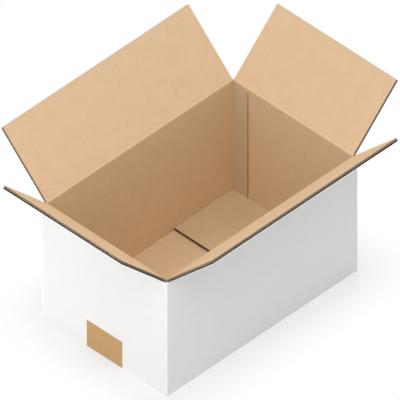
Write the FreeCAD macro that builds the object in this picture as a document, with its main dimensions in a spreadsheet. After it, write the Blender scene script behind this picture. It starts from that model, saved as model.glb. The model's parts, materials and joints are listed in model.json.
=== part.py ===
import FreeCAD, Part
import os
import Sketcher

# A regular slotted shipping box of double-wall corrugated board, taped at the bottom and
# standing open with its four top flaps flared outwards.
#
# Frame: X runs along the long walls, Y across the box, Z up. The origin lies under the
# middle of the box, on the surface that it stands on.
#
# The carton is one folded sheet. It is drawn as six sub-parts only because its top flaps
# move: the body (four walls, the glue tab and the four folded bottom flaps), the four top
# flaps, and the strip of tape that holds the bottom shut.

# The driving dimensions, in millimetres and degrees.
SIZES = {
    "box_length": (400, "over the end walls"),
    "box_width": (256, "over the long walls"),
    "crease_height": (218, "underside of the board to the top crease, on the outer face"),
    "board": (5.2, "thickness of the double-wall board"),
    "liner": (0.3, "each of the three flat papers in the board"),
    "medium": (0.25, "each of the two fluted papers"),
    "flute_pitch": (6.25, "crest to crest"),
    "flute_land": (1.25, "width of a crest where it is glued to a liner"),
    "flute_shift": (2.8, "crests of the inner layer, past those of the outer one"),
    "crush": (9, "length beside a crease where the flutes are crushed shut"),
    "top_seam": (0.8, "gap between the long top flaps when they are shut"),
    "flare": (45, "lean of the open top flaps, outwards from upright"),
    "slot_clearance": (0.3, "side of a flap to the inner face of the wall beside it"),
    "fold_clearance": (0.3, "between the two bevels of a folded crease"),
    "bottom_seam": (1.0, "gap between the long bottom flaps"),
    "bottom_reach": (1.0, "end bottom flaps past half the box's width"),
    "lay_gap": (0.25, "between flaps and what they lie beside or on"),
    "corner_break": (0.9, "chamfer where the outer liner turns a corner"),
    "tab_width": (31, "glue tab, from the inner face of the long wall"),
    "tab_board": (1.8, "glue tab, crushed thin"),
    "tab_taper": (12, "slope of the glue tab's two ends"),
    "tape_width": (73, "sealing tape"),
    "tape_board": (0.15, "thickness of the sealing tape"),
    "tape_rise": (50.5, "length of tape turned up each end wall"),
    "overcut": (1, "how far a cut runs past the faces that it opens"),
}

# Sizes that follow from the driving ones, as expressions on the sheet.
HALF_LENGTH = "(Sizes.box_length / 2)"
HALF_WIDTH = "(Sizes.box_width / 2)"
UNDERSIDE = "Sizes.tape_board"
CREASE_Z = "(Sizes.tape_board + Sizes.crease_height)"
INNER_LENGTH = "(Sizes.box_length / 2 - Sizes.board)"
INNER_WIDTH = "(Sizes.box_width / 2 - Sizes.board)"
SLOT = "(Sizes.board + Sizes.slot_clearance)"
FLOOR_Z = "(Sizes.tape_board + 2 * Sizes.board + Sizes.lay_gap)"
# A carton's flaps are all as long as half its width, so that the long ones meet when shut.
TOP_FLAP_LENGTH = "(Sizes.box_width / 2 - Sizes.top_seam / 2)"
BOTTOM_END_EDGE = "(Sizes.box_length / 2 - Sizes.box_width / 2 - Sizes.bottom_reach)"
# The end flaps close under the long ones, yet all four creases lie at one height while the
# flaps are flared. Both hold when the end flaps turn about a line this far below the crease
# and this far outside their outer face.
END_DROP = "(Sizes.board + Sizes.lay_gap)"
END_SETBACK = f"((sqrt(2) - 1) * {END_DROP})"
END_PIVOT_DROP = f"((2 - sqrt(2)) * {END_DROP})"
FLUTE_HEIGHT = "((Sizes.board - 3 * Sizes.liner) / 2)"

doc = FreeCAD.newDocument("shipping_box")
sheet = doc.addObject("Spreadsheet::Sheet", "Sizes")


def fill_sheet():
    """One row for each driving dimension: its name, its size under that alias, and its meaning."""
    for row, (alias, (size, meaning)) in enumerate(SIZES.items(), start=1):
        sheet.set(f"A{row}", alias)
        sheet.set(f"B{row}", str(size))
        sheet.set(f"C{row}", meaning)
        sheet.setAlias(f"B{row}", alias)
    doc.recompute()


def value(expression):
    """What an expression on the sheet comes to now."""
    return float(sheet.evalExpression(str(expression)))


def new_body(name):
    body = doc.addObject("PartDesign::Body", name)
    body.Label = name
    return body


def sketch(body, name, role, loops, offset="0"):
    """Closed outlines on one of the body's own planes, every corner's two coordinates bound to the sheet."""
    made = body.newObject("Sketcher::SketchObject", name)
    plane = next(f for f in body.Origin.OriginFeatures if f.Role == role)
    made.AttachmentSupport = (plane, [""])
    made.MapMode = "FlatFace"
    made.setExpression("AttachmentOffset.Base.z", offset)
    for loop in loops:
        first = made.GeometryCount
        at = [FreeCAD.Vector(value(across), value(up), 0) for across, up in loop]
        for i, corner in enumerate(at):
            made.addGeometry(Part.LineSegment(corner, at[(i + 1) % len(at)]), False)
        for i, (across, up) in enumerate(loop):
            following = first + (i + 1) % len(loop)
            made.addConstraint(Sketcher.Constraint("Coincident", first + i, 2, following, 1))
            for kind, now, expression in (
                ("DistanceX", at[i].x, across),
                ("DistanceY", at[i].y, up),
            ):
                index = made.addConstraint(Sketcher.Constraint(kind, first + i, 1, now))
                made.setExpression(f"Constraints[{index}]", expression)
    return made


def rectangle(low_x, low_y, high_x, high_y):
    return [(low_x, low_y), (high_x, low_y), (high_x, high_y), (low_x, high_y)]


def pad(body, name, profile, length, both_ways=False, backwards=False):
    made = body.newObject("PartDesign::Pad", name)
    made.Profile = profile
    made.setExpression("Length", length)
    made.SideType = "Symmetric" if both_ways else "One side"
    made.Reversed = backwards
    return made


def pocket(body, name, profile, length, both_ways=False, backwards=False):
    """Cuts the profile out of the body, and stops the build if nothing was there to cut."""
    doc.recompute()
    before = body.Shape.Volume
    made = body.newObject("PartDesign::Pocket", name)
    made.Profile = profile
    made.setExpression("Length", length)
    made.SideType = "Symmetric" if both_ways else "One side"
    made.Reversed = backwards
    made.Refine = False
    doc.recompute()
    if not made.Shape.Volume < before:
        raise RuntimeError(f"{name} cuts nothing")
    return made


def flute_hollows(middle, low, high):
    """The hollow under one crest of a fluted paper, and the hollow over the trough half a pitch on."""
    wide = "(Sizes.flute_pitch / 2 - Sizes.flute_land / 2 - Sizes.medium / 2)"
    narrow = "(Sizes.flute_land / 2 - Sizes.medium / 2)"
    hollows = []
    for at, base, tip in (
        (middle, low, f"({high} - Sizes.medium)"),
        (f"({middle} + Sizes.flute_pitch / 2)", high, f"({low} + Sizes.medium)"),
    ):
        across = (f"{at} - {wide}", f"{at} + {wide}", f"{at} + {narrow}", f"{at} - {narrow}")
        hollows.append(list(zip(across, (base, base, tip, tip))))
    return hollows


def flute_cell(first, outer_face, side, turned):
    """The four hollows, two in each layer, that repeat along a board's cut edge.

    first is the middle of the first flute, and outer_face the level of the board's outer face,
    counted towards side. turned swaps the two directions of the sketch.
    """
    loops = []
    for layer, phase in ((0, "0"), (1, "Sizes.flute_shift")):
        low = f"({outer_face} + {layer + 1} * Sizes.liner + {layer} * {FLUTE_HEIGHT})"
        for hollow in flute_hollows(f"({first} + {phase})", low, f"({low} + {FLUTE_HEIGHT})"):
            corners = [(across, f"{side} * {level}") for across, level in hollow]
            loops.append([(up, across) for across, up in corners] if turned else corners)
    return loops


def cut_flutes(body, name, cell, depth, count, turned=False, backwards=False):
    """Cuts a panel's flutes from its free edge: one cell, and the row that it makes."""
    cut = pocket(body, f"{name}_flute", cell, depth, backwards=backwards)
    row = body.newObject("PartDesign::LinearPattern", f"{name}_flutes")
    row.Originals = [cut]
    row.Direction = (cell, ["V_Axis" if turned else "H_Axis"])
    row.Mode = "Spacing"
    row.Refine = False
    row.setExpression("Offset", "Sizes.flute_pitch")
    row.setExpression("Occurrences", count)
    body.Tip = row
    doc.recompute()
    if not row.Shape.Volume < cut.Shape.Volume:
        raise RuntimeError(f"{name} has no row of flutes")


def build_body():
    """The walls, the glue tab and the folded, taped bottom: all that does not move."""
    body = new_body("box_body")
    walls = [
        rectangle(f"-{HALF_LENGTH}", f"-{HALF_WIDTH}", HALF_LENGTH, HALF_WIDTH),
        rectangle(f"-{INNER_LENGTH}", f"-{INNER_WIDTH}", INNER_LENGTH, INNER_WIDTH),
    ]
    pad(body, "walls", sketch(body, "walls_plan", "XY_Plane", walls, UNDERSIDE), "Sizes.crease_height")
    add_bottom_flaps(body)
    add_glue_tab(body)
    bevel_long_creases(body)
    bevel_end_creases(body)
    break_corners(body)
    flute_bottom_flaps(body)
    return body


def add_bottom_flaps(body):
    """The end flaps lie inside, over the two long flaps that meet along the taped seam."""
    side_gap = f"({INNER_LENGTH} - Sizes.lay_gap)"
    long_flaps = [
        rectangle(f"-{side_gap}", f"-{INNER_WIDTH} - Sizes.lay_gap", side_gap, "-Sizes.bottom_seam / 2"),
        rectangle(f"-{side_gap}", "Sizes.bottom_seam / 2", side_gap, f"{INNER_WIDTH} + Sizes.lay_gap"),
    ]
    plan = sketch(body, "long_bottom_plan", "XY_Plane", long_flaps, UNDERSIDE)
    pad(body, "long_bottom_flaps", plan, "Sizes.board")

    end_gap = f"({INNER_WIDTH} - Sizes.lay_gap)"
    root = f"({INNER_LENGTH} + Sizes.lay_gap)"
    end_flaps = [
        rectangle(f"-{root}", f"-{end_gap}", f"-{BOTTOM_END_EDGE}", end_gap),
        rectangle(BOTTOM_END_EDGE, f"-{end_gap}", root, end_gap),
    ]
    level = "Sizes.tape_board + Sizes.board + Sizes.lay_gap"
    plan = sketch(body, "end_bottom_plan", "XY_Plane", end_flaps, level)
    pad(body, "end_bottom_flaps", plan, "Sizes.board")


def add_glue_tab(body):
    """Carries the long back wall round the corner, glued flat inside the right end wall."""
    root = f"({INNER_WIDTH} + Sizes.lay_gap)"
    edge = f"({INNER_WIDTH} - Sizes.tab_width)"
    fall = "Sizes.tab_width * tan(Sizes.tab_taper * 1 deg)"
    top = f"({CREASE_Z} - {END_DROP} - Sizes.board - Sizes.fold_clearance)"
    foot = f"({FLOOR_Z} + Sizes.lay_gap)"
    outline = [(edge, f"{foot} + {fall}"), (root, foot), (root, top), (edge, f"{top} - {fall}")]
    face = sketch(body, "tab_face", "YZ_Plane", [outline], f"{INNER_LENGTH} + Sizes.lay_gap")
    pad(body, "glue_tab", face, "Sizes.tab_board + Sizes.lay_gap", backwards=True)


def bevel_long_creases(body):
    """Bevels the tops of the long walls, inwards and down from their outer edges, between the slots."""
    above = f"{CREASE_Z} + Sizes.overcut"
    foot = f"{CREASE_Z} - Sizes.board - Sizes.overcut"
    loops = []
    for side in ("-1", "1"):
        outer = f"{side} * {HALF_WIDTH}"
        inner = f"{side} * ({INNER_WIDTH} - Sizes.overcut)"
        loops.append([(outer, CREASE_Z), (inner, foot), (inner, above), (outer, above)])
    section = sketch(body, "long_crease_section", "YZ_Plane", loops)
    pocket(body, "long_crease_bevels", section, f"2 * {INNER_LENGTH}", both_ways=True)


def bevel_end_creases(body):
    """Bevels the tops of the end walls under a rounded nose, so their flaps can fold to a board lower."""
    pivot = f"({CREASE_Z} - {END_PIVOT_DROP})"
    nose = f"({END_PIVOT_DROP} - Sizes.fold_clearance)"
    slant = f"{nose} * sqrt(0.5)"
    above = f"{CREASE_Z} + Sizes.overcut"
    loops = []
    for side in ("-1", "1"):
        outside = f"{side} * ({HALF_LENGTH} + Sizes.overcut)"
        inner = f"{side} * ({INNER_LENGTH} - Sizes.overcut)"
        nose_points = [
            (outside, f"{pivot} + {nose}"),
            (f"{side} * ({HALF_LENGTH} - {nose} * (sqrt(2) - 1))", f"{pivot} + {nose}"),
            (f"{side} * ({HALF_LENGTH} - {slant})", f"{pivot} + {slant}"),
            (f"{side} * ({HALF_LENGTH} - {nose})", pivot),
            (f"{side} * ({HALF_LENGTH} - {slant})", f"{pivot} - {slant}"),
        ]
        inner_points = [
            (inner, f"{pivot} - Sizes.board - Sizes.overcut"),
            (inner, above),
            (outside, above),
        ]
        loops.append(nose_points + inner_points)
    section = sketch(body, "end_crease_section", "XZ_Plane", loops)
    pocket(body, "end_crease_bevels", section, f"2 * {INNER_WIDTH}", both_ways=True)


def break_corners(body):
    """Chamfers the upright folds, and grooves the fold that turns in behind the glued corner."""
    cut = "Sizes.corner_break"
    corners = []
    for x_side, y_side in (("-1", "-1"), ("1", "-1"), ("-1", "1")):
        x, y = f"{x_side} * {HALF_LENGTH}", f"{y_side} * {HALF_WIDTH}"
        corners.append([(x, y), (f"{x} - {x_side} * {cut}", y), (x, f"{y} - {y_side} * {cut}")])
    fold = INNER_LENGTH
    corners.append([(fold, HALF_WIDTH), (f"{fold} - {cut}", HALF_WIDTH), (fold, f"{HALF_WIDTH} - {cut}")])
    plan = sketch(body, "corner_plan", "XY_Plane", corners, UNDERSIDE)
    pocket(body, "corner_breaks", plan, "Sizes.crease_height", backwards=True)


def flute_bottom_flaps(body):
    """Opens the flutes in the free edges of the end bottom flaps, which show inside the box."""
    width = f"(2 * ({INNER_WIDTH} - Sizes.lay_gap))"
    count = f"(floor({width} / Sizes.flute_pitch) - 1)"
    first = f"(-({count} - 0.5) * Sizes.flute_pitch / 2)"
    depth = f"({INNER_LENGTH} - {BOTTOM_END_EDGE} - Sizes.crush)"
    level = "(Sizes.tape_board + Sizes.board + Sizes.lay_gap)"
    for name, side in (("left_bottom", -1), ("right_bottom", 1)):
        loops = flute_cell(first, level, "1", turned=False)
        cell = sketch(body, f"{name}_cell", "YZ_Plane", loops, f"{side} * {BOTTOM_END_EDGE}")
        cut_flutes(body, name, cell, depth, count, backwards=side > 0)


def build_flap(name, along, outward, setback, length, width, pivot):
    """A top flap, drawn upright over its pivot line and leant outwards by its placement.

    along is the row axis that the pivot runs along, outward the sign of the other one on the
    flap's outer side, and setback how far inside the pivot the outer face lies.
    """
    body = new_body(name)
    runs_x = along == "X"
    inward = str(-outward)
    outer = setback
    inner = f"({setback} + Sizes.board)"
    bevel = "Sizes.fold_clearance * sqrt(2)"
    outline = [
        (f"{inward} * {outer}", f"{outer} + {bevel}"),
        (f"{inward} * {inner}", f"{inner} + {bevel}"),
        (f"{inward} * {inner}", length),
        (f"{inward} * {outer}", length),
    ]
    role = "YZ_Plane" if runs_x else "XZ_Plane"
    pad(body, f"{name}_slab", sketch(body, f"{name}_section", role, [outline]), width, both_ways=True)
    depth = f"({length} - {inner} - Sizes.crush)"
    first = f"(-{width} / 2 + Sizes.flute_land)"
    count = f"(floor({width} / Sizes.flute_pitch) + 1)"
    loops = flute_cell(first, outer, inward, turned=not runs_x)
    cell = sketch(body, f"{name}_cell", "XY_Plane", loops, length)
    cut_flutes(body, name, cell, depth, count, turned=not runs_x)
    lean = FreeCAD.Vector(-outward, 0, 0) if runs_x else FreeCAD.Vector(0, outward, 0)
    body.Placement = FreeCAD.Placement(FreeCAD.Vector(), FreeCAD.Rotation(lean, value("Sizes.flare")))
    for axis, place in zip("xyz", pivot):
        body.setExpression(f"Placement.Base.{axis}", place)
    body.setExpression("Placement.Rotation.Angle", "Sizes.flare * 1 deg")
    return body


def build_top_flaps():
    long_width = f"(2 * ({HALF_LENGTH} - {SLOT}))"
    end_width = f"(2 * ({HALF_WIDTH} - {SLOT}))"
    end_length = f"({TOP_FLAP_LENGTH} + {END_SETBACK})"
    end_z = f"{CREASE_Z} - {END_PIVOT_DROP}"
    flaps = []
    for name, outward in (("long_flap_front", -1), ("long_flap_back", 1)):
        pivot = ("0", f"{outward} * {HALF_WIDTH}", CREASE_Z)
        flaps.append(build_flap(name, "X", outward, "0", TOP_FLAP_LENGTH, long_width, pivot))
    for name, outward in (("end_flap_left", -1), ("end_flap_right", 1)):
        pivot = (f"{outward} * {HALF_LENGTH}", "0", end_z)
        flaps.append(build_flap(name, "Y", outward, END_SETBACK, end_length, end_width, pivot))
    return flaps


def build_tape():
    """One strip under the bottom seam, turned up over both end walls."""
    body = new_body("bottom_tape")
    inner, outer = HALF_LENGTH, f"({HALF_LENGTH} + Sizes.tape_board)"
    top = "Sizes.tape_board + Sizes.tape_rise"
    outline = [(f"-{outer}", "0"), (outer, "0"), (outer, top), (inner, top), (inner, "Sizes.tape_board")]
    outline += [(f"-{inner}", "Sizes.tape_board"), (f"-{inner}", top), (f"-{outer}", top)]
    section = sketch(body, "tape_section", "XZ_Plane", [outline])
    pad(body, "tape_strip", section, "Sizes.tape_width", both_ways=True)
    return body


def check(bodies):
    """Stops before anything is written if an object failed or a sub-part is not one sound solid."""
    for item in doc.Objects:
        if {"Invalid", "Error"} & set(item.State):
            raise RuntimeError(f"{item.Name} is {item.State}")
    for body in bodies:
        shape = body.Shape
        if shape.isNull() or not shape.isValid() or len(shape.Solids) != 1:
            raise RuntimeError(f"{body.Label} is not one valid solid")


def main():
    fill_sheet()
    bodies = [build_body(), *build_top_flaps(), build_tape()]
    doc.recompute()
    check(bodies)
    os.makedirs("parts", exist_ok=True)
    for body in bodies:
        body.Shape.exportStep(f"parts/{body.Label}.step")


main()
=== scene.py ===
"""Looks of a double-wall shipping box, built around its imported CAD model.

Every measure is in metres. A run of board has its own directions: across it, along it away from
its crease, and inward from its outer liner to its inner liner. Each corner of a piece also has its
place on the unfolded sheet, in metres, so that the paper's grain runs on over the folds.
"""

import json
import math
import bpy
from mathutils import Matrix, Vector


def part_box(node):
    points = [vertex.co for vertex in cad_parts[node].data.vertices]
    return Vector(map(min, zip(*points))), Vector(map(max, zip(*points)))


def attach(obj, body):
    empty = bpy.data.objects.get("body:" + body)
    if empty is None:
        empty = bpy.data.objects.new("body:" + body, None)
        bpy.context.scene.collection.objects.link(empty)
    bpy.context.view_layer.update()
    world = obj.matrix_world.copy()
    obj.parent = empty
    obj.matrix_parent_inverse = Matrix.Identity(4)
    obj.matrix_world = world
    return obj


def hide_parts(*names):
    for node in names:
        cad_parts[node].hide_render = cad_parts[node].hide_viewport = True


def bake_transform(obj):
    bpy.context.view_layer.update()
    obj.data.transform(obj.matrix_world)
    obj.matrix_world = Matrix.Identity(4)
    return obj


bl_info = {
    "name": "Double-wall shipping box",
    "version": (1, 0, 0),
    "blender": (4, 5, 0),
    "location": "3D View > Sidebar > Box",
    "description": "Builds the board, creases, tape and studio of a slotted shipping box",
    "category": "Object",
}

from collections import namedtuple

import bmesh
import bpy
from bpy.props import FloatProperty, FloatVectorProperty, PointerProperty
from mathutils import Vector

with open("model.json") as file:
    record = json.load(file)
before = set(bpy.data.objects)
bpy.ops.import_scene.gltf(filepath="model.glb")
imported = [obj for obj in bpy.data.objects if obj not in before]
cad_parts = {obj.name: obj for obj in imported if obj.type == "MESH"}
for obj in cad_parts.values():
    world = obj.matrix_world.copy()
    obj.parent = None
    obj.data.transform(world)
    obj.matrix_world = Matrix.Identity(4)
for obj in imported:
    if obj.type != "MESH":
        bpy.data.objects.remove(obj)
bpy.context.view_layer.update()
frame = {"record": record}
MM = 0.001
# Points closer than this are one point.
MERGE = 0.001 * MM

BODY_LOW, BODY_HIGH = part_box("box_body")
TAPE_LOW, TAPE_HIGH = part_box("bottom_tape")
JOINTS = {joint["name"]: joint for joint in frame["record"]["behaviour"]["joints"]}
HALF_LENGTH, HALF_WIDTH = BODY_HIGH.x, BODY_HIGH.y
# The heights of the bottom folds and of the long walls' creases.
BASE, CREASE = BODY_LOW.z, BODY_HIGH.z
WALL_HEIGHT = CREASE - BASE
# How far the flaps lean out at rest.
FLARE = math.radians(45)
UP = Vector((0, 0, 1))


def length(name, value, description):
    """A length property, with its default in millimetres."""
    return FloatProperty(name=name, description=description, default=value * MM, unit="LENGTH")


def angle(name, value, description):
    """An angle property, with its default in degrees."""
    return FloatProperty(name=name, description=description, default=math.radians(value), subtype="ANGLE")


def tone(name, value, description):
    return FloatVectorProperty(name=name, description=description, default=value, subtype="COLOR")


def light(name, value, description):
    return FloatProperty(name=name, description=description, default=value)


class BoardSizes(bpy.types.PropertyGroup):
    """Sizes of the corrugated board and of what is cut and folded from it."""

    thickness: length("Board", 5.2, "Thickness of the double-wall board")
    liner: length("Liner", 0.4, "Thickness of the outer and the inner liner")
    middle: length("Middle liner", 0.4, "Thickness of the liner between the two layers of fluting")
    middle_depth: length("Middle depth", 2.7, "How deep the middle liner lies under the outer face")
    medium: length("Outer fluting", 0.25, "Thickness of the fluted paper under the white liner")
    inner_medium: length("Inner fluting", 0.6, "Thickness of the fluted paper under the brown liner")
    pitch: length("Pitch", 6.25, "Distance from one flute to the next")
    shift: length("Shift", 2.8, "How far the inner flutes stand beside the outer ones")
    recess: length("Recess", 1.0, "How far the fluting stays back from a board's side edges")
    flap: length("Flap", 127.6, "Length of a top flap from its crease")
    corner: length("Corner", 1.0, "Outer radius of the folds between the walls")
    foot: length("Foot", 0.8, "Outer radius of the folds under the walls")
    seam: length("Seam", 1.0, "Gap between the long bottom flaps")
    lay: length("Lay gap", 0.25, "Gap between layers that lie on each other")
    end_edge: length("End edge", 71, "Distance from the middle to the end bottom flaps' edges")
    tab_width: length("Tab", 31, "Width of the glue tab")
    tab_board: length("Tab board", 1.5, "Thickness of the pressed glue tab")
    tab_top: length("Tab top", 0.25, "Thickness of the glue tab at its top")
    tab_thick_to: length("Tab thick to", 165, "Height up to which the glue tab keeps its thickness")
    tab_taper: angle("Tab taper", 12, "Slope of the glue tab's ends")
    tab_rise: length("Tab rise", 2.0, "How far the glue tab's top stands above the crease, at the corner")


class Finishes(bpy.types.PropertyGroup):
    """Colours of the papers and the tape."""

    white: tone("White liner", (0.885, 0.88, 0.87), "Coated outer liner")
    kraft: tone("Kraft liner", (0.742, 0.528, 0.332), "Brown inner liner of the top flaps")
    # Painted light: a copy of the kraft, less orange than the flaps', set against the tint of light bounced
    # inside the box.
    inside: tone("Inside kraft", (0.73, 0.547, 0.357), "Brown inner liner of the walls")
    # Painted light: a lighter copy of the kraft, for the long bottom flaps, which lie in more light.
    floor: tone("Floor kraft", (0.785, 0.577, 0.367), "Brown inner liner of the long bottom flaps")
    # Painted shade: a darker copy of the kraft, for the end bottom flaps beside the end walls.
    floor_end: tone("End floor kraft", (0.68, 0.507, 0.325), "Brown inner liner of the end bottom flaps")
    pressed: tone("Pressed kraft", (0.635, 0.495, 0.33), "Brown liner of the pressed and glued tab")
    fluting: tone("Inner fluting", (0.40, 0.295, 0.19), "Fluted paper under the brown liner")
    # Outer fluting: darker paper, painted near black for the shade in the channels of its flutes.
    dark_fluting: tone("Outer fluting", (0.05, 0.035, 0.024), "Darker fluted paper under the white liner")
    cut: tone("Cut edge", (0.72, 0.55, 0.37), "Paper where the board is cut")
    # Board edges inside the box are painted dark brown: painted shade on the same board as the flaps.
    brown: tone("Inside edge", (0.24, 0.125, 0.06), "Board edges inside the box")
    tape: tone("Tape", (0.555, 0.338, 0.148), "Tan sealing tape")


class Studio(bpy.types.PropertyGroup):
    """Camera and light."""

    azimuth: angle("Azimuth", -45.53, "Direction that the camera stands in")
    elevation: angle("Elevation", 40.63, "Height of the camera above the horizon")
    aim: length("Aim", 181.3, "Height of the point that the camera looks at")
    width: length("Width", 587.2, "Width of the view")
    world: light("World", 0.5, "Light from all round")
    near: light("Near", 22.6, "High light over the nearest corner, in watts")
    far: light("Far", 20.6, "High light over the farthest corner, in watts")
    left: light("Left", 8.4, "Light on the taped end, in watts")
    right: light("Right", 3.4, "Light past the other end, in watts")
    low: light("Low", 1.45, "Low light along the taped end, in watts")


def board():
    return bpy.context.scene.box_board


def finishes():
    return bpy.context.scene.box_finishes


def studio():
    return bpy.context.scene.box_studio


# --- where things are ---


class Side:
    """One wall of the box, with the flap that hangs on it. half is half its length, sheet its middle's
    place on the sheet, and drop how far its hinge lies below the long walls' creases."""

    def __init__(self, flap, joint, outward, reach, half, sheet):
        self.flap, self.half, self.sheet = flap, half, sheet
        self.out = Vector(outward)
        self.across = UP.cross(self.out)
        self.face = self.out * reach
        self.drop = CREASE - Vector(JOINTS[joint]["pos_m"]).z
        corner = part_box(flap)[1]
        self.flap_half = corner.x if abs(self.across.x) > 0.5 else corner.y
        self.along = UP * math.cos(FLARE) + self.out * math.sin(FLARE)
        self.inward = UP * math.sin(FLARE) - self.out * math.cos(FLARE)

    def wall(self, n, w):
        """A point of the wall, that deep behind its outer face and that far below the crease."""
        return self.face + UP * (CREASE - w) - self.out * n

    def flared(self, n, v):
        """A point of the flap at rest, that deep behind its outer face and that far from the crease."""
        return self.face + UP * CREASE + self.inward * n + self.along * v

    def on_wall(self, n, w):
        """A corner for a sweep: a point of the wall, with its height on the sheet and its depth."""
        return self.wall(n, w), WALL_HEIGHT - w, n

    def on_flap(self, n, v):
        """The same for a point of the flap."""
        return self.flared(n, v), WALL_HEIGHT + v, n


# How wide the long walls and the end walls are on the sheet.
LONG, END = 2 * HALF_LENGTH, 2 * HALF_WIDTH
# The sheet unfolds from the glue tab: back wall, left end, front wall, right end.
BACK = Side("long_flap_back", "back_crease", (0, 1, 0), HALF_WIDTH, HALF_LENGTH, LONG / 2)
LEFT = Side("end_flap_left", "left_crease", (-1, 0, 0), HALF_LENGTH, HALF_WIDTH, LONG + END / 2)
FRONT = Side("long_flap_front", "front_crease", (0, -1, 0), HALF_WIDTH, HALF_LENGTH, LONG * 1.5 + END)
RIGHT = Side("end_flap_right", "right_crease", (1, 0, 0), HALF_LENGTH, HALF_WIDTH, LONG * 2 + END * 1.5)
SIDES = {"back": BACK, "left": LEFT, "front": FRONT, "right": RIGHT}


class Panel(namedtuple("Panel", "origin across along inward start run", defaults=[(1, 1)])):
    """A flat run of board, with the places of its points in the box and on the sheet. start is the sheet
    place of its origin, and run says which way it goes on there."""

    def place(self, u, v, n):
        return self.origin + self.across * u + self.along * v + self.inward * n

    def sheet(self, u, v):
        return (self.start[0] + self.run[0] * u, self.start[1] + self.run[1] * v)


# --- meshes ---

# The sharpest angles that are shaded round: in folds, in the pressed tab and in fluting.
ROUND, TAB_ROUND, WAVE_ROUND = 40, 30, 50


class Piece:
    """Collects the faces of one piece before they become a mesh."""

    def __init__(self, name):
        self.name = name
        self.faces = []

    def face(self, corners, marks, paint):
        """A face from its corners and their places on the sheet. Corners that coincide count once."""
        kept = [(Vector(c), m) for i, (c, m) in enumerate(zip(corners, marks))
                if (Vector(c) - Vector(corners[i - 1])).length > MERGE]
        if len(kept) > 2:
            self.faces.append((kept, paint))

    def sweep(self, section, across, ends, sheet_x, paints, end_paint):
        """A closed section of (point, sheet height, depth), swept across from one end to the other."""
        for i, paint in enumerate(paints):
            (a, mark_a, deep_a), (b, mark_b, deep_b) = section[i], section[(i + 1) % len(section)]
            if paint == "cut_edge":
                mark_a, mark_b = mark_a + deep_a, mark_b + deep_b
            ring = [(a, mark_a, u) for u in ends] + [(b, mark_b, u) for u in ends[::-1]]
            self.face([point + across * u for point, _, u in ring],
                      [(sheet_x + u, mark) for _, mark, u in ring], paint)
        for u in ends:
            self.face([point + across * u for point, *_ in section],
                      [(sheet_x + u + deep, mark) for _, mark, deep in section], end_paint)

    def slab(self, panel, half, along, inward, outer, inner, edge, bevelled=False):
        """One liner. Where bevelled, its start leans in with its depth."""
        section = []
        for n, v in ((inward[0], along[1]), (inward[1], along[1]), (inward[1], along[0]),
                     (inward[0], along[0])):
            if bevelled and v == along[0]:
                v += n
            section.append((panel.place(0, v, n), panel.sheet(0, v)[1], n))
        self.sweep(section, panel.across, (-half, half), panel.start[0],
                   (edge, inner, edge, outer), edge)

    def knit(self):
        """Gives each face the corners of its neighbours that lie along its edges, so no seam is open."""
        spots = {tuple(round(x / MERGE) for x in c): c for kept, _ in self.faces for c, _ in kept}.values()
        for index, (kept, paint) in enumerate(self.faces):
            full = []
            for i, (a, mark_a) in enumerate(kept):
                b, mark_b = kept[(i + 1) % len(kept)]
                full.append((a, mark_a))
                edge = b - a
                found = []
                for spot in spots:
                    t = (spot - a).dot(edge) / edge.length_squared
                    inside = 0 < t < 1 and min(t, 1 - t) * edge.length > MERGE
                    if inside and (spot - a - edge * t).length < MERGE:
                        found.append((t, spot))
                for t, spot in sorted(found, key=lambda item: item[0]):
                    full.append((spot, tuple(p + (q - p) * t for p, q in zip(mark_a, mark_b))))
            self.faces[index] = (full, paint)

    def make(self, smooth=None):
        """The finished object. smooth is the sharpest angle, in degrees, that is shaded round."""
        points, faces = [], []
        for kept, _ in self.faces:
            faces.append(range(len(points), len(points) + len(kept)))
            points += [c for c, _ in kept]
        mesh = bpy.data.meshes.new(self.name)
        mesh.from_pydata(points, [], faces)
        marks = [mark for kept, _ in self.faces for _, mark in kept]
        for loop, mark in zip(mesh.uv_layers.new(name="Sheet").data, marks):
            loop.uv = mark
        used = sorted({paint for _, paint in self.faces})
        for name in used:
            mesh.materials.append(material(name))
        for polygon, (_, paint) in zip(mesh.polygons, self.faces):
            polygon.material_index = used.index(paint)
        return finish_mesh(mesh, self.name, smooth)


def finish_mesh(mesh, name, smooth):
    """Closes the mesh's seams, turns its faces outwards and links it as an object."""
    work = bmesh.new()
    work.from_mesh(mesh)
    bmesh.ops.remove_doubles(work, verts=work.verts, dist=MERGE)
    bmesh.ops.recalc_face_normals(work, faces=work.faces)
    work.to_mesh(mesh)
    work.free()
    if smooth:
        mesh.shade_smooth()
        mesh.set_sharp_from_angle(angle=math.radians(smooth))
    return add_object(name, mesh)


def add_object(name, data):
    made = bpy.data.objects.new(name, data)
    bpy.context.scene.collection.objects.link(made)
    return made


# --- nodes ---


def connect(tree, value, socket):
    if isinstance(value, bpy.types.NodeSocket):
        tree.links.new(value, socket)
    elif socket.type == "RGBA" and len(value) == 3:
        socket.default_value = (*value, 1.0)
    else:
        socket.default_value = value


def node(tree, kind, inputs=None, **settings):
    """A node with its settings and inputs. An input is a value or another node's output."""
    made = tree.nodes.new(kind)
    for key, value in settings.items():
        setattr(made, key, value)
    for key, value in (inputs or {}).items():
        connect(tree, value, made.inputs[key])
    return made


def calc(tree, operation, *values):
    return node(tree, "ShaderNodeMath", dict(enumerate(values)), operation=operation).outputs[0]


def between(tree, value, low, high, start=0.0, end=1.0):
    """The value eased from start to end as it goes from low to high."""
    return node(tree, "ShaderNodeMapRange", {
        "Value": value, "From Min": low, "From Max": high, "To Min": start, "To Max": end},
        interpolation_type="SMOOTHSTEP").outputs["Result"]


def noise(tree, coordinates, scale, detail=2.0, roughness=0.5):
    return node(tree, "ShaderNodeTexNoise", {
        "Vector": coordinates, "Scale": scale, "Detail": detail, "Roughness": roughness},
        noise_dimensions="2D").outputs[0]


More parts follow.
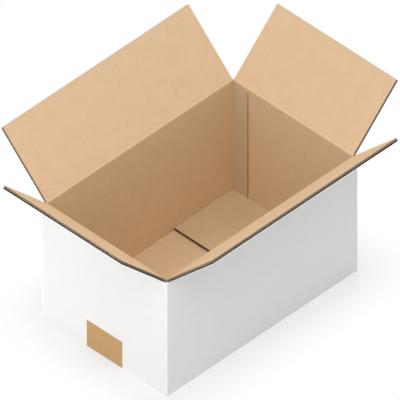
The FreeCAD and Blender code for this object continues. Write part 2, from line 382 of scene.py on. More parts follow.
def stretched(tree, coordinates, turn, along, across):
    """Coordinates turned by an angle, then measured in fibre lengths and fibre widths."""
    turned = node(tree, "ShaderNodeMapping", {
        "Vector": coordinates, "Rotation": (0, 0, math.radians(turn))}, vector_type="TEXTURE")
    return node(tree, "ShaderNodeVectorMath", {
        0: turned.outputs[0], 1: (1 / along, 1 / across, 1)}, operation="MULTIPLY").outputs[0]


def fibres(tree, coordinates, turn, along, across, share):
    """Slim fibres at one angle, on a share of the cells: 1 on a fibre, 0 elsewhere."""
    cells = node(tree, "ShaderNodeTexVoronoi", {
        "Vector": stretched(tree, coordinates, turn, along, across), "Scale": 0.5, "Randomness": 1.0},
        voronoi_dimensions="2D", feature="F1")
    near = between(tree, cells.outputs["Distance"], 0.16, 0.34, 1.0, 0.0)
    pick = node(tree, "ShaderNodeSeparateColor", {"Color": cells.outputs["Color"]}).outputs["Red"]
    return calc(tree, "MULTIPLY", near, calc(tree, "LESS_THAN", pick, share))


def node_group(name, kind, inputs, outputs, fill):
    """A node group, built once, with the kinds of its inputs and outputs. fill makes its nodes and
    returns what it puts out."""
    tree = bpy.data.node_groups.get(name)
    if tree:
        return tree
    tree = bpy.data.node_groups.new(name, kind)
    for direction, sockets in (("INPUT", inputs), ("OUTPUT", outputs)):
        for label, socket in sockets.items():
            tree.interface.new_socket(name=label, in_out=direction, socket_type="NodeSocket" + socket)
    inlet, outlet = tree.nodes.new("NodeGroupInput"), tree.nodes.new("NodeGroupOutput")
    for label, value in zip(outputs, fill(tree, inlet.outputs)):
        tree.links.new(value, outlet.inputs[label])
    return tree


# Two kinds of fibres of each tone: their turn in degrees, their length and their width.
DARK_FIBRES = ((12, 1.6 * MM, 0.35 * MM), (71, 1.2 * MM, 0.3 * MM))
PALE_FIBRES = ((-31, 1.9 * MM, 0.35 * MM), (97, 1.4 * MM, 0.3 * MM))


def paper_grain(tree, given):
    """Cloudy formation, dark and pale fibres, and a fine tooth."""
    sheet, share = given["Sheet"], given["Fibre share"]
    cloud = calc(tree, "MULTIPLY_ADD", noise(tree, sheet, 45.0, 3.0, 0.6), 0.55,
                 calc(tree, "MULTIPLY", noise(tree, sheet, 320.0, 4.0, 0.65), 0.45))
    dark, pale = (calc(tree, "MAXIMUM", *(fibres(tree, sheet, *kind, share) for kind in kinds))
                  for kinds in (DARK_FIBRES, PALE_FIBRES))
    tooth = noise(tree, stretched(tree, sheet, 0, 0.9 * MM, 0.35 * MM), 1.0, 3.0)
    return cloud, dark, pale, tooth


def washboard(tree, given):
    """The faint ridges that the flutes press through a liner, 1 on a ridge."""
    across = node(tree, "ShaderNodeSeparateXYZ", {"Vector": given["Sheet"]}).outputs["X"]
    drift = noise(tree, given["Sheet"], 18.0, 1.0)
    turns = calc(tree, "DIVIDE", across, given["Pitch"])
    phase = calc(tree, "MULTIPLY_ADD", turns, 2 * math.pi, calc(tree, "MULTIPLY", drift, 1.2))
    wave = calc(tree, "MULTIPLY_ADD", calc(tree, "COSINE", phase), 0.5, 0.5)
    return (calc(tree, "MULTIPLY", wave, between(tree, drift, 0.3, 0.7, 0.55, 1.0)),)


def fold_light_and_shade(tree, given):
    """Where the sheet is folded or cut and its paper gets painted highlight or shade, broken up by noise: 1
    on the line, 0 beside it. Corners are the folds between the walls, and creases are the folds and ends of
    the flaps."""
    spot = node(tree, "ShaderNodeSeparateXYZ", {"Vector": given["Sheet"]}).outputs
    rough = calc(tree, "MULTIPLY_ADD", noise(tree, given["Sheet"], 260.0, 3.0), 0.8, 0.6)
    for axis, lines in (("X", (0.0, LONG, LONG + END, 2 * LONG + END, 2 * LONG + 2 * END)),
                        ("Y", (0.0, WALL_HEIGHT, WALL_HEIGHT + board().flap))):
        fold_light_mask = None
        for line in lines:
            away = calc(tree, "ABSOLUTE", calc(tree, "SUBTRACT", spot[axis], line))
            near = between(tree, away, 0.0, given["Width"], 1.0, 0.0)
            fold_light_mask = near if fold_light_mask is None else calc(tree, "MAXIMUM", fold_light_mask, near)
        yield calc(tree, "MULTIPLY", fold_light_mask, rough)


# Groups of masks over the sheet: what else each one goes by, what it puts out, and its nodes.
MASKS = {
    "Paper grain": ("Fibre share", ("Cloud", "Dark fibre", "Pale fibre", "Tooth"), paper_grain),
    "Washboard": ("Pitch", ("Ridge",), washboard),
    "Fold wear": ("Width", ("Corner", "Crease"), fold_light_and_shade),
}


def masks(tree, name, sheet, value):
    """What one of those groups puts out."""
    measure, labels, fill = MASKS[name]
    made = node_group(name, "ShaderNodeTree", {"Sheet": "Vector", measure: "Float"},
                      dict.fromkeys(labels, "Float"), fill)
    return node(tree, "ShaderNodeGroup", {"Sheet": sheet, measure: value}, node_tree=made).outputs


def mix(tree, factor, first, second, kind="MIX"):
    return node(tree, "ShaderNodeMix", {0: factor, 6: first, 7: second}, data_type="RGBA",
                blend_type=kind).outputs[2]


def shade(tree, colour, level):
    """A colour made darker or lighter by a level that changes over the surface."""
    grey = node(tree, "ShaderNodeCombineColor", dict.fromkeys(("Red", "Green", "Blue"), level))
    return mix(tree, 1.0, colour, grey.outputs[0], "MULTIPLY")


def cleared(holder):
    """The node tree of a material or a world, with nothing in it."""
    holder.use_nodes = True
    holder.node_tree.nodes.clear()
    return holder.node_tree


def new_material(name):
    made = bpy.data.materials.new(name)
    tree = cleared(made)
    return made, tree, node(tree, "ShaderNodeUVMap", uv_map="Sheet").outputs[0]


def principled(tree, colour, roughness, relief, specular):
    bump = node(tree, "ShaderNodeBump", {"Height": relief, "Strength": 1.0, "Distance": 1.0})
    shader = node(tree, "ShaderNodeBsdfPrincipled", {
        "Base Color": colour, "Roughness": roughness, "Normal": bump.outputs[0],
        "Specular IOR Level": specular})
    node(tree, "ShaderNodeOutputMaterial", {"Surface": shader.outputs[0]})


# How strongly a fibre shows, how wide a fold's painted highlight or shade is, and how much light the paper
# and the tape mirror.
FIBRE_SHOW, FOLD_LIGHT_WIDTH, PAPER_SHEEN, TAPE_SHEEN = 0.5, 1.8 * MM, 0.2, 0.12


def paper(name, colour, cloud, share, dark, pale, ridge, wear, roughness, tooth, press):
    """Paper with its grain. cloud, dark, pale and ridge say how far its clouds, fibres and flutes change
    its colour, and wear how far the painted highlight or shade at the folds of the corners
    and of the creases changes it. share is how many of its fibres show. tooth and press are the heights,
    in millimetres, of its tooth and its flutes' ridges."""
    made, tree, sheet = new_material(name)
    grain = masks(tree, "Paper grain", sheet, share)
    ridges = masks(tree, "Washboard", sheet, board().pitch)["Ridge"]
    level = between(tree, grain["Cloud"], 0.3, 0.7, 1 - cloud, 1 + cloud)
    level = calc(tree, "MULTIPLY", level, calc(tree, "MULTIPLY_ADD", ridges, -ridge, 1 + ridge / 2))
    base = shade(tree, colour, level)
    for mask, factor in (("Dark fibre", dark), ("Pale fibre", pale)):
        base = mix(tree, calc(tree, "MULTIPLY", grain[mask], FIBRE_SHOW), base,
                   tuple(min(1, c * factor) for c in colour))
    if wear:
        fold_light_mask = masks(tree, "Fold wear", sheet, FOLD_LIGHT_WIDTH)
        level = calc(tree, "MULTIPLY_ADD", fold_light_mask["Corner"], wear[0], 1.0)
        level = calc(tree, "MULTIPLY_ADD", fold_light_mask["Crease"], wear[1], level)
        base = shade(tree, base, level)
    relief = calc(tree, "MULTIPLY_ADD", grain["Tooth"], tooth * MM,
                  calc(tree, "MULTIPLY", ridges, press * MM))
    rough = between(tree, grain["Tooth"], 0.2, 0.8, roughness - 0.05, roughness + 0.05)
    principled(tree, base, rough, relief, PAPER_SHEEN)
    return made


# Brown paper: painted shade in the inner corners between the walls, and a painted highlight along the creases
# and ends.
BROWN_PAPER = dict(cloud=0.03, share=0.12, dark=0.72, pale=1.18, ridge=0.012, wear=(-0.06, 0.06),
                   roughness=0.85, tooth=0.012, press=0.012)
RAW_PAPER = dict(cloud=0.06, share=0.15, dark=0.7, pale=1.3, ridge=0, wear=None, roughness=0.95,
                 tooth=0.02, press=0)
# Each paper's material, with the name of its colour and how it looks.
PAPERS = {
    # The white liner: a strong painted highlight on the folded corners between the walls, and a faint one
    # along the creases and ends.
    "white_liner": ("white", dict(cloud=0.008, share=0.05, dark=0.93, pale=1.04, ridge=0.004,
                                  wear=(0.28, 0.05), roughness=0.6, tooth=0.004, press=0.006)),
    "kraft_liner": ("kraft", BROWN_PAPER),
    "inside_kraft": ("inside", BROWN_PAPER),
    "floor_kraft": ("floor", BROWN_PAPER),
    "end_floor_kraft": ("floor_end", BROWN_PAPER),
    "pressed_kraft": ("pressed", dict(BROWN_PAPER, ridge=0, wear=None, roughness=0.8, tooth=0.008,
                                      press=0)),
    "fluting_paper": ("fluting", dict(RAW_PAPER, pale=1.2)),
    "dark_fluting": ("dark_fluting", RAW_PAPER),
    "brown_edge": ("brown", dict(RAW_PAPER, cloud=0.1, share=0.2)),
    "cut_edge": ("cut", dict(RAW_PAPER, cloud=0.12, share=0.3, dark=0.6, pale=1.25, tooth=0.03)),
}


def tape_film():
    """Satin tape film, with faint streaks along its length and a little texture in its glue."""
    made, tree, sheet = new_material("tape_film")
    streaks = noise(tree, stretched(tree, sheet, 0, 1.1 * MM, 60 * MM), 1.0, 3.0)
    glue = noise(tree, sheet, 160.0, 4.0, 0.6)
    level = calc(tree, "MULTIPLY", between(tree, streaks, 0.3, 0.7, 0.985, 1.015),
                 between(tree, glue, 0.35, 0.65, 0.985, 1.015))
    principled(tree, shade(tree, tuple(finishes().tape), level), between(tree, glue, 0.3, 0.7, 0.5, 0.58),
               calc(tree, "MULTIPLY", glue, 0.02 * MM), TAPE_SHEEN)
    return made


def material(name):
    """The material of that name, made when it is first asked for."""
    made = bpy.data.materials.get(name)
    if made or name == "tape_film":
        return made or tape_film()
    colour, look = PAPERS[name]
    return paper(name, tuple(getattr(finishes(), colour)), **look)


# --- board ---

# Edges in each flute, along the board.
WAVE_STEPS = 12
FLUTE_SIZES = ("Half width", "Start", "End", "Pitch", "Shift", "Base", "Height", "Paper", "Bevel")
FLUTE_INPUTS = dict.fromkeys(FLUTE_SIZES, "Float") | {"Steps": "Int", "Material": "Material"}


def flute(tree, given):
    """Geometry nodes for one layer of fluting: a waved sheet of paper, thickened, closed and painted."""
    grid = node(tree, "GeometryNodeMeshGrid", {
        "Size X": calc(tree, "MULTIPLY", given["Half width"], 2.0), "Size Y": 1.0,
        "Vertices X": given["Steps"], "Vertices Y": 2})
    spot = node(tree, "ShaderNodeSeparateXYZ",
                {"Vector": node(tree, "GeometryNodeInputPosition").outputs[0]}).outputs
    turns = calc(tree, "DIVIDE", calc(tree, "ADD", spot["X"], given["Shift"]), given["Pitch"])
    wave = calc(tree, "COSINE", calc(tree, "MULTIPLY", turns, 2 * math.pi))
    wave = calc(tree, "MULTIPLY_ADD", wave, 0.5, 0.5)
    depth = calc(tree, "MULTIPLY_ADD", wave, calc(tree, "SUBTRACT", given["Height"], given["Paper"]),
                 given["Base"])
    first = calc(tree, "LESS_THAN", spot["Y"], 0.0)
    begin = calc(tree, "MULTIPLY_ADD", depth, given["Bevel"], given["Start"])
    along = calc(tree, "MULTIPLY_ADD", calc(tree, "SUBTRACT", begin, given["End"]), first, given["End"])
    moved = node(tree, "ShaderNodeCombineXYZ", {"X": spot["X"], "Y": along, "Z": depth})
    waved = node(tree, "GeometryNodeSetPosition", {
        "Geometry": grid.outputs["Mesh"], "Position": moved.outputs[0]})
    rise = node(tree, "ShaderNodeCombineXYZ", {"Z": given["Paper"]})
    thick = node(tree, "GeometryNodeExtrudeMesh", {
        "Mesh": waved.outputs[0], "Offset": rise.outputs[0], "Offset Scale": 1.0, "Individual": False},
        mode="FACES")
    under = node(tree, "GeometryNodeFlipFaces", {"Mesh": waved.outputs[0]})
    joined = tree.nodes.new("GeometryNodeJoinGeometry")
    for part in (thick.outputs["Mesh"], under.outputs[0]):
        tree.links.new(part, joined.inputs[0])
    closed = node(tree, "GeometryNodeMergeByDistance", {"Geometry": joined.outputs[0], "Distance": MERGE})
    real = node(tree, "GeometryNodeRealizeInstances", {"Geometry": closed.outputs[0]})
    painted = node(tree, "GeometryNodeSetMaterial", {
        "Geometry": real.outputs[0], "Material": given["Material"]})
    return (painted.outputs[0],)


def fluted_layer(panel, half, along, inward, shift, medium, bevelled, paint):
    """One layer of fluting as a mesh, in its place in the box."""
    holder = add_object("fluting", bpy.data.meshes.new("fluting"))
    modifier = holder.modifiers.new("Fluting", "NODES")
    modifier.node_group = node_group("Fluted layer", "GeometryNodeTree", {
        "Geometry": "Geometry", **FLUTE_INPUTS}, {"Geometry": "Geometry"}, flute)
    keys = {item.name: item.identifier for item in modifier.node_group.interface.items_tree
            if item.in_out == "INPUT"}
    steps = round(2 * half / board().pitch * WAVE_STEPS) + 1
    values = (half, *along, board().pitch, shift, inward[0], inward[1] - inward[0], medium,
              float(bevelled), steps, material(paint))
    for label, value in zip(FLUTE_INPUTS, values):
        modifier[keys[label]] = value
    graph = bpy.context.evaluated_depsgraph_get()
    mesh = bpy.data.meshes.new_from_object(holder.evaluated_get(graph))
    bpy.data.objects.remove(holder)
    for loop, mark in zip(mesh.loops, mesh.uv_layers.new(name="Sheet").data):
        u, v, _ = mesh.vertices[loop.vertex_index].co
        mark.uv = panel.sheet(u, v)
    for vertex in mesh.vertices:
        vertex.co = panel.place(*vertex.co)
    return mesh


# The paints of a board's cut edge, from its outer liner inwards, and the paint of its inner liner.
Edge = namedtuple("Edge", "rim outer middle inner lining")
# The flaps' cut edges show the outer fluting's painted shade, also on the liner faces beside it.
FLAP_EDGE = Edge("white_liner", "dark_fluting", "cut_edge", "fluting_paper", "kraft_liner")
# The bottom flaps' cut edges are all painted shade.
FLOOR_EDGE = Edge(*["brown_edge"] * 4, "floor_kraft")
END_FLOOR_EDGE = Edge(*["brown_edge"] * 4, "end_floor_kraft")


def fluting(name, panel, half, along, edge, bevelled):
    """Both layers of fluting of one panel, as one piece."""
    under, over = middle_liner()
    layers = ((board().liner, under, 0.0, board().medium, edge.outer),
              (over, board().thickness - board().liner, board().shift, board().inner_medium, edge.inner))
    work = bmesh.new()
    for index, (base, top, shift, medium, paint) in enumerate(layers):
        count = len(work.faces)
        start = along[0] + medium * bevelled
        work.from_mesh(fluted_layer(panel, half - board().recess, (start, along[1]), (base, top), shift,
                                    medium, bevelled, paint))
        work.faces.ensure_lookup_table()
        for face in work.faces[count:]:
            face.material_index = index
    mesh = bpy.data.meshes.new(name)
    work.to_mesh(mesh)
    work.free()
    for *_, paint in layers:
        mesh.materials.append(material(paint))
    return finish_mesh(mesh, name, WAVE_ROUND)


def middle_liner():
    """The depths at which the middle liner starts and ends."""
    return board().middle_depth, board().middle_depth + board().middle


def liners(name, panel, half, along, edge, bevelled, outer_start=None):
    """The three liners of one panel. outer_start is where the outer one starts, if another piece covers
    the board before it."""
    liner, t = board().liner, board().thickness
    piece = Piece(name)
    outer_along = along if outer_start is None else (outer_start, along[1])
    piece.slab(panel, half, outer_along, (0, liner), "white_liner", edge.outer, edge.rim,
               bevelled and outer_start is None)
    piece.slab(panel, half, along, middle_liner(), edge.outer, edge.inner, edge.middle, bevelled)
    piece.slab(panel, half, along, (t - liner, t), edge.inner, edge.lining, edge.inner, bevelled)
    return piece.make()


def corrugated(name, panel, half, along, part, edge, open_end=0.0, bevelled=False, outer_start=None):
    """A run of board: its liners and its fluting, which stops short of its free end by open_end."""
    for piece in (liners(name + "_liners", panel, half, along, edge, bevelled, outer_start),
                  fluting(name + "_fluting", panel, half, (along[0], along[1] - open_end), edge, bevelled)):
        settle(piece, *part)


def settle(piece, body, cad_node, slot):
    """Puts a piece on its body and hides its CAD node. slot is not used."""
    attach(piece, body)
    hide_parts(cad_node)


# --- pieces ---

# The body, CAD node and material slot of what doesn't move.
BODY = ("box", "box_body", "board_body")
QUARTER = math.radians(90)
# The angles at which a fold round a quarter turn has an edge.
TURNS = [QUARTER * k / 5 for k in range(6)]
# A corner's cut top, from its outer face to its inner one: shares of the board, and their paints.
# The innermost band of a corner's top carries the outer fluting's painted shade.
CORNER_BANDS = ((0.0, 0.3, "white_liner"), (0.3, 0.6, "cut_edge"), (0.6, 1.0, "dark_fluting"))
# The glue tab's tip: how many boards below the end flap's hinge it starts, and its levels up to its thin
# end and again from there to its top.
TIP_START, TIP_STEPS = 1.4, 8
# How wide the glue tab's edge is bevelled, less this share of its thickness.
TAB_BEVEL, TAB_STEEP = 1.5 * MM, 0.75
# The white cover of an end crease: how far it goes up the flap, its levels there and again below the
# fold, and the gap at its ends.
COVER_END, COVER_STEPS, COVER_GAP = 3.25 * MM, 4, 0.05 * MM
# How many stretches of a crease's line lie on its wall. The rest lie on its flap.
WALL_STRETCHES = 4


def bend_line(side):
    """The direction that a crease's board runs in, halfway round its bend."""
    return side.out * math.sin(FLARE / 2) + UP * math.cos(FLARE / 2)


def core_reach(side):
    """How far a crease's pressed board reaches below and above its fold, along the bend."""
    t, bend, fold = board().thickness, bend_line(side), side.face + UP * CREASE
    return ((side.wall(t, side.drop + t) - fold).dot(bend),
            (side.flared(t, t + board().lay) - fold).dot(bend))


def bend_with_crease(piece, side, reach):
    """Bakes a piece into place and hides its flap's CAD node. reach, two distances from the fold, is not
    used.
    """
    bend, fold = bend_line(side), side.face + UP * CREASE
    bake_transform(piece)
    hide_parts(side.flap)


class BOX_OT_walls(bpy.types.Operator):
    """Build the four walls as one ring, folded round at the corners and bevelled under the creases"""

    bl_idname = "box.walls"
    bl_label = "Walls"

    def execute(self, context):
        t, r, foot = board().thickness, board().corner, board().foot
        piece = Piece("walls")
        stations = []
        order = (FRONT, RIGHT, BACK, LEFT)
        for side, following in zip(order, order[1:] + order[:1]):
            inner, reach = side.half - t, side.half - r
            low_top = (CREASE - side.drop, CREASE - side.drop - t)
            high_top = (CREASE, CREASE)
            for u, deep, top in ((-reach, -inner, high_top), (-inner, -inner, high_top),
                                 (-inner, -inner, low_top), (inner, inner, low_top),
                                 (inner, inner, high_top), (reach, inner, high_top)):
                stations.append((side.face + side.across * u, side.out,
                                 side.face - side.out * t + side.across * deep, top, side.sheet + u))
            centre = side.face + following.face - (side.out + following.out) * r
            for turn in TURNS[1:-1]:
                normal = side.out * math.cos(turn) + following.out * math.sin(turn)
                stations.append((centre + normal * r, normal, stations[-1][2], high_top,
                                 side.sheet + reach + r * turn))
        for start, end in zip(stations, stations[1:] + stations[:1]):
            self.stretch(piece, start, end, foot)
        piece.knit()
        settle(piece.make(ROUND), *BODY)
        return {"FINISHED"}

    def stretch(self, piece, start, end, foot):
        """The faces between two stations: outer point, normal, inner point, tops and place on the sheet."""
        (p, out_p, q, top_p, x_p), (s, out_s, w, top_s, x_s) = start, end
        if (p - s).length < MERGE:
            step = [p + UP * top_p[0], q + UP * top_p[1], q + UP * top_s[1], p + UP * top_s[0]]
            piece.face(step, [(x_p + (c - p).xy.length, c.z - BASE) for c in step], "white_liner")
            return
        if x_s < x_p:
            x_s = x_p + (s - p).length
        low = BASE + foot
        a, b, c, d = p + UP * top_p[0], s + UP * top_s[0], w + UP * top_s[1], q + UP * top_p[1]
        piece.face([p + UP * low, s + UP * low, b, a],
                   [(x_p, foot), (x_s, foot), (x_s, top_s[0] - BASE), (x_p, top_p[0] - BASE)], "white_liner")
        piece.face([q + UP * BASE, w + UP * BASE, c, d],
                   [(x_p, 0), (x_s, 0), (x_s, top_s[1] - BASE), (x_p, top_p[1] - BASE)], "inside_kraft")
        for near, far, paint in CORNER_BANDS:
            corners = (a.lerp(d, near), b.lerp(c, near), b.lerp(c, far), a.lerp(d, far))
            piece.face(corners, [(x + (corner - skin).length, WALL_HEIGHT)
                                 for corner, x, skin in zip(corners, (x_p, x_s, x_s, x_p), (a, b, b, a))],
                       paint)
        rows = []
        for turn in TURNS:
            inset, rise = foot * (1 - math.cos(turn)), foot * (1 - math.sin(turn))
            rows.append((p - out_p * inset + UP * (BASE + rise), s - out_s * inset + UP * (BASE + rise),
                         foot - foot * turn))
        rows.append((q + UP * BASE, w + UP * BASE, foot - foot * QUARTER - board().thickness + foot))
        for (a, b, y), (c, d, z) in zip(rows, rows[1:]):
            piece.face([a, b, d, c], [(x_p, y), (x_s, y), (x_s, z), (x_p, z)], "white_liner")


class BOX_OT_bottom_flaps(bpy.types.Operator):
    """Build the four bottom flaps: the long ones meet in the middle, the end ones lie on them"""

    bl_idname = "box.bottom_flaps"
    bl_label = "Bottom flaps"

    def execute(self, context):
        t, lay = board().thickness, board().lay
        for name, side in SIDES.items():
            is_long = side.half == HALF_LENGTH
            height = BASE if is_long else BASE + t + lay
            end = HALF_WIDTH - board().seam / 2 if is_long else HALF_LENGTH - board().end_edge
            panel = Panel(side.face + UP * height, side.across, -side.out, UP, (side.sheet, 0), (1, -1))
            corrugated("bottom_flap_" + name, panel, side.half - t - lay, (t, end), BODY,
                       FLOOR_EDGE if is_long else END_FLOOR_EDGE, open_end=2 * board().recess)
        return {"FINISHED"}


class BOX_OT_glue_tab(bpy.types.Operator):
    """Build the glue tab, pressed thin inside the right end wall, and its tip at the crease"""

    bl_idname = "box.glue_tab"
    bl_label = "Glue tab"

    def execute(self, context):
        t, width = board().thickness, board().tab_width
        slope = math.tan(board().tab_taper)
        bottom = 2 * (t + board().lay)
        split = WALL_HEIGHT - RIGHT.drop - TIP_START * t
        thin_from = self.thin_from()
        top = WALL_HEIGHT + board().tab_rise
        levels = [bottom, board().tab_thick_to, split]
        settle(self.strip("glue_tab", [(v, v) for v in levels]), *BODY)
        levels = [(split + (thin_from - split) * k / TIP_STEPS,) * 2 for k in range(TIP_STEPS + 1)]
        for k in range(1, TIP_STEPS + 1):
            share = k / TIP_STEPS
            levels.append((thin_from + (top - thin_from) * share,
                           thin_from + (top - width * slope - thin_from) * share))
        bend_with_crease(self.strip("glue_tab_tip", levels), RIGHT, core_reach(RIGHT))
        return {"FINISHED"}

    def thin_from(self):
        """The height on the sheet from which the tab is thinnest."""
        return WALL_HEIGHT - board().thickness - 2 * board().lay

    def thickness(self, v):
        """The tab is pressed thin towards its top, so that the back flap shuts past it."""
        thick, thin = board().tab_board, board().tab_top
        start, end = board().tab_thick_to, self.thin_from()
        return thick + (thin - thick) * min(1, max(0, (v - start) / (end - start)))

    def strip(self, name, levels):
        """A length of the tab. Each level is its height at the wall's corner and at the tab's edge."""
        t, width = board().thickness, board().tab_width
        corner = RIGHT.face + BACK.face - (RIGHT.out + BACK.out) * t + UP * BASE
        panel = Panel(corner, -BACK.out, UP, -RIGHT.out, (0, 0), (-1, 1))
        rows = []
        for at_corner, at_edge in levels:
            deep = self.thickness(max(at_corner, at_edge))
            cut = TAB_BEVEL - TAB_STEEP * deep
            rows.append([(u, at_corner + (at_edge - at_corner) * u / width, n)
                         for u, n in ((0, 0), (width, 0), (width - cut, deep), (0, deep))])
        piece = Piece(name)

        def add(ring, paint):
            piece.face([panel.place(*c) for c in ring], [panel.sheet(c[0] + c[2], c[1]) for c in ring], paint)

        for under, over in zip(rows, rows[1:]):
            # The tab's bevelled edge is painted dark brown: painted shade.
            for i, paint in enumerate(("kraft_liner", "brown_edge", "pressed_kraft", "kraft_liner")):
                j = (i + 1) % len(under)
                for ring in ((under[i], under[j], over[j]), (under[i], over[j], over[i])):
                    add(ring, paint)
        for row in (rows[0], rows[-1]):
            add(row, "fluting_paper")
        return piece.make(TAB_ROUND)


class BOX_OT_top_flaps(bpy.types.Operator):
    """Build the four top flaps with their open flutes"""

    bl_idname = "box.top_flaps"
    bl_label = "Top flaps"

    def execute(self, context):
        along = (board().lay, board().flap)
        for name, side in SIDES.items():
            panel = Panel(side.flared(0, 0), side.across, side.along, side.inward, (side.sheet, WALL_HEIGHT))
            corrugated("top_flap_" + name, panel, side.flap_half, along, (side.flap, side.flap, "board_flap"),
                       FLAP_EDGE, bevelled=True, outer_start=COVER_END if side.drop > MERGE else None)
        return {"FINISHED"}


class BOX_OT_creases(bpy.types.Operator):
    """Build the pressed board in the top creases"""

    bl_idname = "box.creases"
    bl_label = "Creases"

    def execute(self, context):
        for name, side in SIDES.items():
            bend_with_crease(self.core(name, side), side, core_reach(side))
            if side.drop > MERGE:
                reach = math.cos(FLARE / 2)
                bend_with_crease(self.cover(name, side), side, (-side.drop * reach, COVER_END * reach))
        return {"FINISHED"}

    def core(self, name, side):
        """The board in one crease: its inner and middle liners, and its pressed fluting between them."""
        t, liner, recess = board().thickness, board().liner, board().recess
        skin = liner if side.drop > MERGE else 0
        under, over = middle_liner()
        piece = Piece("crease_core_" + name)
        # The outermost band carries the outer fluting's painted shade.
        for shallow, deep, paint, back in ((skin, under, "dark_fluting", recess),
                                           (under, over, "cut_edge", 0),
                                           (over, t - liner, "fluting_paper", recess),
                                           (t - liner, t, "kraft_liner", 0)):
            inner, outer = self.line(side, deep), self.line(side, shallow)
            edge = "cut_edge" if back == 0 else paint
            skin_paint, end_paint = ("white_liner",) * 2 if shallow == skin else (paint, edge)
            wall_paint = "inside_kraft" if deep == t else paint
            stretches = len(inner) - 1
            paints = ([wall_paint] * WALL_STRETCHES + [paint] * (stretches - WALL_STRETCHES) + [end_paint]
                      + [skin_paint] * stretches + [end_paint])
            half = side.flap_half - back
            piece.sweep(inner + outer[::-1], side.across, (-half, half), side.sheet, paints, edge)
        return piece.make()

    def line(self, side, n):
        """The corners round a crease at one depth, from the wall to the flap, for a sweep."""
        fold = n * math.tan(FLARE / 2)
        return ([side.on_wall(n, w) for w in (side.drop + n, side.drop + n / 2, side.drop, 0, -fold)]
                + [side.on_flap(n, v) for v in (0, n / 2, n + board().lay)])

    def cover(self, name, side):
        """The white outer liner over an end crease, where the flap turns below its fold."""
        skin = board().liner
        fold = skin * math.tan(FLARE / 2)
        shares = [k / COVER_STEPS for k in range(1, COVER_STEPS + 1)]
        below, above = [side.drop * share for share in shares], [COVER_END * share for share in shares]
        section = [side.on_wall(0, w) for w in below[::-1] + [0]] + [side.on_flap(0, v) for v in above]
        section += [side.on_flap(skin, v) for v in above[::-1]]
        section += [(side.wall(skin, -fold), WALL_HEIGHT, skin)] + [side.on_wall(skin, w) for w in below]
        stretches = 2 * COVER_STEPS
        paints = ["white_liner"] * stretches + ["cut_edge"] + ["kraft_liner"] * stretches + ["cut_edge"]
        piece = Piece("crease_cover_" + name)
        half = side.half - board().thickness - COVER_GAP
        piece.sweep(section, side.across, (-half, half), side.sheet, paints, "white_liner")
        return piece.make()


class BOX_OT_tape(bpy.types.Operator):
    """Build the strip of tape under the bottom seam, turned up both end walls"""

    bl_idname = "box.tape"
    bl_label = "Tape"

    def execute(self, context):
        deep, foot = TAPE_HIGH.x - HALF_LENGTH, board().foot
        outer, inner = [], []
        for sign in (-1, 1):
            centre = Vector((sign * (HALF_LENGTH - foot), 0, BASE + foot))
            for radius, line in ((foot + deep, outer), (foot, inner)):
                run = [Vector((centre.x + sign * radius, 0, TAPE_HIGH.z))]
                for turn in TURNS:
                    run.append(centre + Vector((sign * math.cos(turn), 0, -math.sin(turn))) * radius)
                line += run if sign < 0 else run[::-1]
        marks = [0.0]
        for a, b in zip(outer, outer[1:]):
            marks.append(marks[-1] + (b - a).length)
        section = [(point, mark, 0) for point, mark in zip(outer, marks)]
        section += [(point, mark, deep) for point, mark in zip(inner[::-1], marks[::-1])]
        piece, film = Piece("sealing_tape"), "tape_film"
        piece.sweep(section, BACK.out, (TAPE_LOW.y, TAPE_HIGH.y), 0, [film] * len(section), film)
        settle(piece.make(ROUND), "box", "bottom_tape", "packing_tape")
        return {"FINISHED"}


# --- studio ---

# Each lamp: its name, its place, the point that it shines at, and its size.
MIDDLE = (0, 0, 0.15)
LAMPS = (
    ("near", (-1.0, -1.0, 2.4), MIDDLE, (1.2, 1.2)),
    ("far", (1.0, 1.0, 2.4), MIDDLE, (1.2, 1.2)),
    ("left", (-2.2, 0, 1.6), MIDDLE, (1.6, 1.6)),
    ("right", (2.2, -0.6, 1.6), MIDDLE, (1.6, 1.6)),
    ("low", (-0.75, 0.45, 0.06), (-0.2, 0, 0.06), (0.9, 0.1)),
)
CAMERA_AWAY = 2.0
# The floor lies a little below the tape, so that their faces don't meet.
FLOOR_RADIUS, FLOOR_SIDES, FLOOR_HEIGHT = 12.0, 64, -0.1 * MM
FLOOR_GREY, WHITE = (0.85,) * 3, (1.0,) * 3
# The share of plain white in the floor beside the box, and how far out it takes to grow to all white.
# Nearer the box the floor keeps more of its lit grey, so it darkens there: the shadow that the box casts,
# deepened by a painted shadow.
SHADOW_WHITE, SHADOW_REACH = 0.5, 0.09


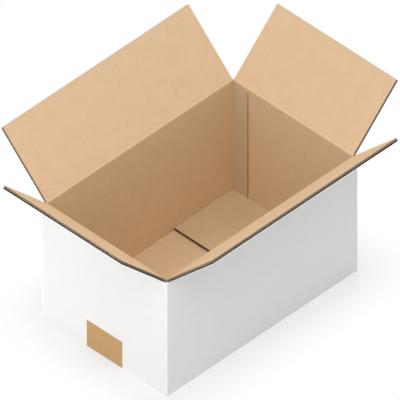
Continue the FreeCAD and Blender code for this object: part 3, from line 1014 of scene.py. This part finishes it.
class BOX_OT_stage(bpy.types.Operator):
    """Build the white floor, the soft lights and the camera"""

    bl_idname = "box.stage"
    bl_label = "Studio"

    def execute(self, context):
        scene = context.scene
        scene.view_settings.view_transform = "Standard"
        self.floor()
        self.world(scene)
        for name, place, aim, size in LAMPS:
            lamp = bpy.data.lights.new(name + "_light", "AREA")
            lamp.shape = "RECTANGLE"
            lamp.size, lamp.size_y = size
            lamp.energy = getattr(studio(), name)
            self.aimed(lamp, Vector(place), Vector(aim) - Vector(place)).visible_camera = False
        camera = bpy.data.cameras.new("camera")
        camera.type = "ORTHO"
        camera.ortho_scale = studio().width
        a, e = studio().azimuth, studio().elevation
        back = Vector((math.sin(a) * math.cos(e), -math.cos(a) * math.cos(e), math.sin(e)))
        scene.camera = self.aimed(camera, UP * studio().aim + back * CAMERA_AWAY, -back)
        return {"FINISHED"}

    def aimed(self, data, place, direction):
        """A lamp or a camera as an object that stands in its place and faces that way."""
        holder = add_object(data.name, data)
        holder.location = place
        holder.rotation_mode = "QUATERNION"
        holder.rotation_quaternion = direction.to_track_quat("-Z", "Y")
        return holder

    def seen(self, tree):
        """1 where the camera sees a surface, straight or in a gloss or a clear film, 0 for its light."""
        path = node(tree, "ShaderNodeLightPath").outputs
        mirrored = calc(tree, "MAXIMUM", path["Is Glossy Ray"], path["Is Transmission Ray"])
        return calc(tree, "MAXIMUM", path["Is Camera Ray"], mirrored)

    def floor(self):
        mesh = bpy.data.meshes.new("floor")
        turns = [2 * math.pi * i / FLOOR_SIDES for i in range(FLOOR_SIDES)]
        mesh.from_pydata([(FLOOR_RADIUS * math.cos(turn), FLOOR_RADIUS * math.sin(turn), FLOOR_HEIGHT)
                          for turn in turns], [], [range(FLOOR_SIDES)])
        made = bpy.data.materials.new("floor")
        tree = cleared(made)
        paint = node(tree, "ShaderNodeBsdfDiffuse", {"Color": FLOOR_GREY})
        glow = node(tree, "ShaderNodeEmission", {"Color": WHITE, "Strength": 1.0})
        seen = self.seen(tree)
        spot = node(tree, "ShaderNodeTexCoord").outputs["Object"]
        # How far a point of the floor lies outside the box.
        for operation, *value in (("ABSOLUTE",), ("SUBTRACT", (HALF_LENGTH, HALF_WIDTH, 0)),
                                  ("MAXIMUM", (0, 0, 0)), ("LENGTH",)):
            away = node(tree, "ShaderNodeVectorMath", dict(enumerate((spot, *value))), operation=operation)
            spot = away.outputs["Value" if operation == "LENGTH" else "Vector"]
        share = between(tree, spot, 0.0, SHADOW_REACH, SHADOW_WHITE, 1.0)
        blend = node(tree, "ShaderNodeMixShader", {
            0: calc(tree, "MULTIPLY", seen, share), 1: paint.outputs[0], 2: glow.outputs[0]})
        node(tree, "ShaderNodeOutputMaterial", {"Surface": blend.outputs[0]})
        mesh.materials.append(made)
        add_object("floor", mesh)

    def world(self, scene):
        scene.world = bpy.data.worlds.new("studio")
        tree = cleared(scene.world)
        seen = self.seen(tree)
        strength = calc(tree, "MULTIPLY_ADD", seen, 1 - studio().world, studio().world)
        glow = node(tree, "ShaderNodeBackground", {"Color": WHITE, "Strength": strength})
        node(tree, "ShaderNodeOutputWorld", {"Surface": glow.outputs[0]})


class BOX_PT_panel(bpy.types.Panel):
    """Lists what builds the box"""

    bl_label = "Shipping box"
    bl_space_type = "VIEW_3D"
    bl_region_type = "UI"
    bl_category = "Box"

    def draw(self, context):
        layout = self.layout
        for operator in OPERATORS:
            layout.operator(operator.bl_idname)
        for holder in (board(), finishes(), studio()):
            column = layout.column()
            for key in holder.__annotations__:
                column.prop(holder, key)


OPERATORS = (BOX_OT_walls, BOX_OT_bottom_flaps, BOX_OT_glue_tab, BOX_OT_top_flaps, BOX_OT_creases,
             BOX_OT_tape, BOX_OT_stage)
CLASSES = (BoardSizes, Finishes, Studio, *OPERATORS, BOX_PT_panel)


def register():
    for each in CLASSES:
        bpy.utils.register_class(each)
    bpy.types.Scene.box_board = PointerProperty(type=BoardSizes)
    bpy.types.Scene.box_finishes = PointerProperty(type=Finishes)
    bpy.types.Scene.box_studio = PointerProperty(type=Studio)


def unregister():
    for name in ("box_board", "box_finishes", "box_studio"):
        delattr(bpy.types.Scene, name)
    for each in reversed(CLASSES):
        bpy.utils.unregister_class(each)


def main():
    register()
    bpy.ops.box.walls()
    bpy.ops.box.bottom_flaps()
    bpy.ops.box.glue_tab()
    bpy.ops.box.top_flaps()
    bpy.ops.box.creases()
    bpy.ops.box.tape()
    bpy.ops.box.stage()


if __name__ == "__main__":
    main()
